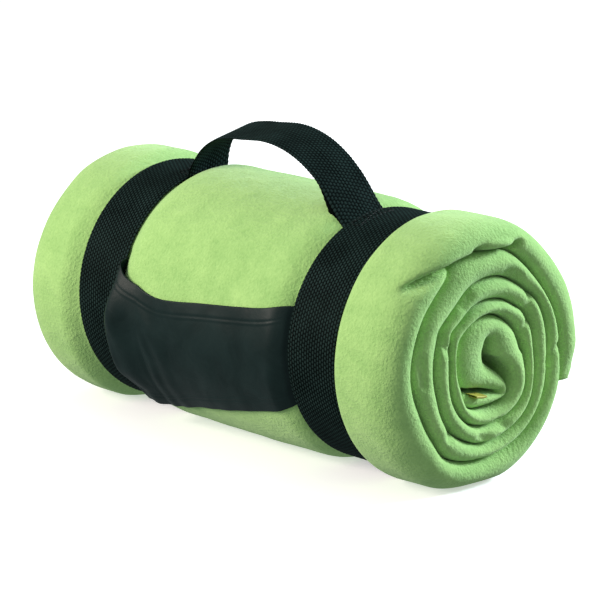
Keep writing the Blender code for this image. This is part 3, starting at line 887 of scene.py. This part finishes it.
def stitch_line(mesh, spots):
    """Adds stitches along a line of (place, outward normal)."""
    gone = 0.0
    for (place, out), (onward, _) in zip(spots, spots[1:]):
        run = onward - place
        gone += run.length
        if gone < STITCH:
            continue
        gone -= STITCH
        made = bmesh.ops.create_uvsphere(mesh, u_segments=6, v_segments=5, radius=1)["verts"]
        bmesh.ops.scale(mesh, verts=made, vec=(THREAD, THREAD, STITCH * 0.43))
        side = run.cross(out).normalized()
        frame_of = Matrix((side, run.cross(side).normalized(), run.normalized())).transposed().to_4x4()
        middle = Matrix.Translation(place + out * THREAD * 0.4)
        bmesh.ops.transform(mesh, matrix=middle @ frame_of, verts=made)


thread = bpy.data.materials.new("black_thread")
nodes, links, shader = nodes_of(thread)
shader.inputs["Roughness"].default_value = 0.45
shader.inputs["Specular IOR Level"].default_value = 0.15
twist = pattern(nodes, links, "Wave", 1400, distortion=1)
links.new(
    ramp(nodes, links, twist.outputs["Fac"], (0.2, (0.002, 0.004, 0.004)), (0.8, (0.009, 0.015, 0.014))),
    shader.inputs["Base Color"],
)
links.new(bumped(nodes, links, twist.outputs["Fac"], 0.4, 0.0001), shader.inputs["Normal"])


def seam_spot(x, angle, radius):
    """A place on a round layer, with the normal there."""
    turn = math.radians(angle)
    out = Vector((0, math.cos(turn), math.sin(turn)))
    return on_end(0, 0) + Vector((x, 0, 0)) + out * radius, out


SPOT_STEP = 0.0004              # from one place on a line of stitches to the next


def line_of(corners, radius):
    """Close spots along straight runs between corners given as x and angle."""
    spots = []
    for (x0, a0), (x1, a1) in zip(corners, corners[1:]):
        length = math.hypot(x1 - x0, math.radians(a1 - a0) * radius(a0))
        count = max(2, round(length / SPOT_STEP))
        for i in range(count):
            t = i / count
            angle = a0 + (a1 - a0) * t
            spots.append(seam_spot(x0 + (x1 - x0) * t, angle, radius(angle)))
    return spots


def add_stitching(name, lines, body, stands_for):
    """Makes one piece of all the stitches along some lines of spots."""
    mesh = bmesh.new()
    for spots in lines:
        stitch_line(mesh, spots)
    sewn = add_piece(name, mesh, thread, body)
    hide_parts(stands_for)


def box_corners(x0, x1, a0, a1):
    """The corners of a box of stitches, back to the first."""
    return [(x0, a0), (x1, a0), (x1, a1), (x0, a1), (x0, a0)]


STRAP_INSIDE_EDGE = STRAP_MIDDLE - STRAP_HALF
BOX_NEAR, BOX_FAR = 0.0025, 0.0105  # the handle's boxes of stitches, from that edge
PANEL_SEAM = 0.004              # the panel's seams, from that edge
TAPE_SEAM = 0.0015              # the tapes' stitches, from their edges
SUNK = RELIEF * 0.3             # how deep the thread lies in the weave


def on_strap(angle):
    """The radius of the stitches on the strap itself."""
    return STRAP_OUTER - SUNK


def on_free_end(angle):
    """The radius of the stitches on a free end."""
    return free_inside(angle) + WEBBING - SUNK


for name, side in SIDES:
    centre = 90 + math.degrees(math.asin(-HANDLE_FRONT * (1 + side * HANDLE_LEAN) / STRAP_INNER))
    reach = math.degrees((HANDLE_WIDTH / 2 - BOX_NEAR) / STRAP_INNER)
    near, far = (side * (STRAP_INSIDE_EDGE + off) for off in (BOX_NEAR, BOX_FAR))
    box = box_corners(near, far, centre - reach, centre + reach)
    cross = [[(near, centre - reach), (far, centre + reach)], [(near, centre + reach), (far, centre - reach)]]
    add_stitching(
        f"handle_box_stitches_{name}", [line_of(corners, on_strap) for corners in [box] + cross],
        "carrier", f"handle_tack_stitching_{name}",
    )
    seam = side * (STRAP_INSIDE_EDGE + PANEL_SEAM)
    ends = [panel_angle(side * SHOWING / 1000, share) + turn for share, turn in ((0, 1), (1, -1))]
    add_stitching(
        f"panel_seam_stitches_{name}", [line_of([(seam, ends[0]), (seam, ends[1])], on_strap)],
        "carrier", f"panel_seam_stitching_{name}",
    )
    across = [side * STRAP_MIDDLE + sign * (TAPE_HALF - TAPE_SEAM) for sign in (-1, 1)]
    sewn = box_corners(*across, FREE_END + TAPE_MARGIN + 1, STRAP_END - TAPE_MARGIN - 1)
    add_stitching(
        f"hook_tape_stitches_{name}", [line_of(sewn, on_free_end)],
        f"{name}_free_end", f"hook_tape_stitching_{name}",
    )

HEM_START, HEM_RUN = 13, 141    # where along the panel its hems' stitches start, and how far they run
HEM_SPOTS = 330
for name, from_top in (("top", True), ("bottom", False)):
    spots = []
    for i in range(1, HEM_SPOTS):
        along = HEM_START + HEM_RUN * i / HEM_SPOTS
        x = max(PANEL_LEFT + along, -SHOWING) / 1000
        share = (HEM - 0.6) / MM_PER_DEGREE / (panel_angle(x, 1) - panel_angle(x, 0))
        place = panel_place(along, share if from_top else 1 - share)
        spots.append((place, (place - on_end(0, 0) - Vector((place.x, 0, 0))).normalized()))
    add_stitching(f"panel_{name}_hem_stitches", [spots], "carrier", f"panel_{name}_hem_stitching")


# ---- Care label ----
# A small woven polyester label, folded double and caught in the blanket's inner fold.

label_low, label_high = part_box("care_label")
LABEL_ROOT = 0.008              # how deep in the roll's end it is caught
LABEL_LEG = 0.0085              # from there to its fold
LABEL_FOLD = 0.0007             # the radius of its fold
LABEL_RISE = 0.0006             # its lower half lies this far over the bottom of its place
LABEL_MARGIN = 0.003            # it is this much narrower, on each side, than its place in the blanket's fold
LEG_ROWS, FOLD_ROWS = 16, 8
LABEL_COLUMNS = 28

label_rows = []
last_row = 2 * LEG_ROWS + FOLD_ROWS
for i in range(last_row + 1):
    bend = min(max((i - LEG_ROWS) / FOLD_ROWS, 0), 1) * math.pi
    leg = min(i, last_row - i, LEG_ROWS) / LEG_ROWS
    x = ROLL_HALF - LABEL_ROOT + LABEL_LEG * leg + LABEL_FOLD * math.sin(bend)
    z = label_low.z + LABEL_RISE + LABEL_FOLD * (1 - math.cos(bend))
    row = []
    for j in range(LABEL_COLUMNS + 1):
        y = label_low.y + LABEL_MARGIN + (label_high.y - label_low.y - 2 * LABEL_MARGIN) * j / LABEL_COLUMNS
        wave = 0.0005 * math.sin(y * 420) + 0.00008 * (j % 2)
        row.append(Vector((x, y, z + wave)))
    label_rows.append(row)
label_mesh = sheet_of(label_rows)
bmesh.ops.solidify(label_mesh, geom=label_mesh.faces[:], thickness=0.0002)
woven_label = bpy.data.materials.new("ochre_label")
nodes, links, shader = nodes_of(woven_label)
shader.inputs["Roughness"].default_value = 0.6
picks = pattern(nodes, links, "Wave", 500)
links.new(
    ramp(nodes, links, picks.outputs["Fac"], (0.1, (0.36, 0.33, 0.04)), (0.9, (0.55, 0.5, 0.1))),
    shader.inputs["Base Color"],
)
links.new(bumped(nodes, links, picks.outputs["Fac"], 0.4, 0.0001), shader.inputs["Normal"])
label = add_piece("folded_care_label", label_mesh, woven_label, "blanket")
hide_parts("care_label")
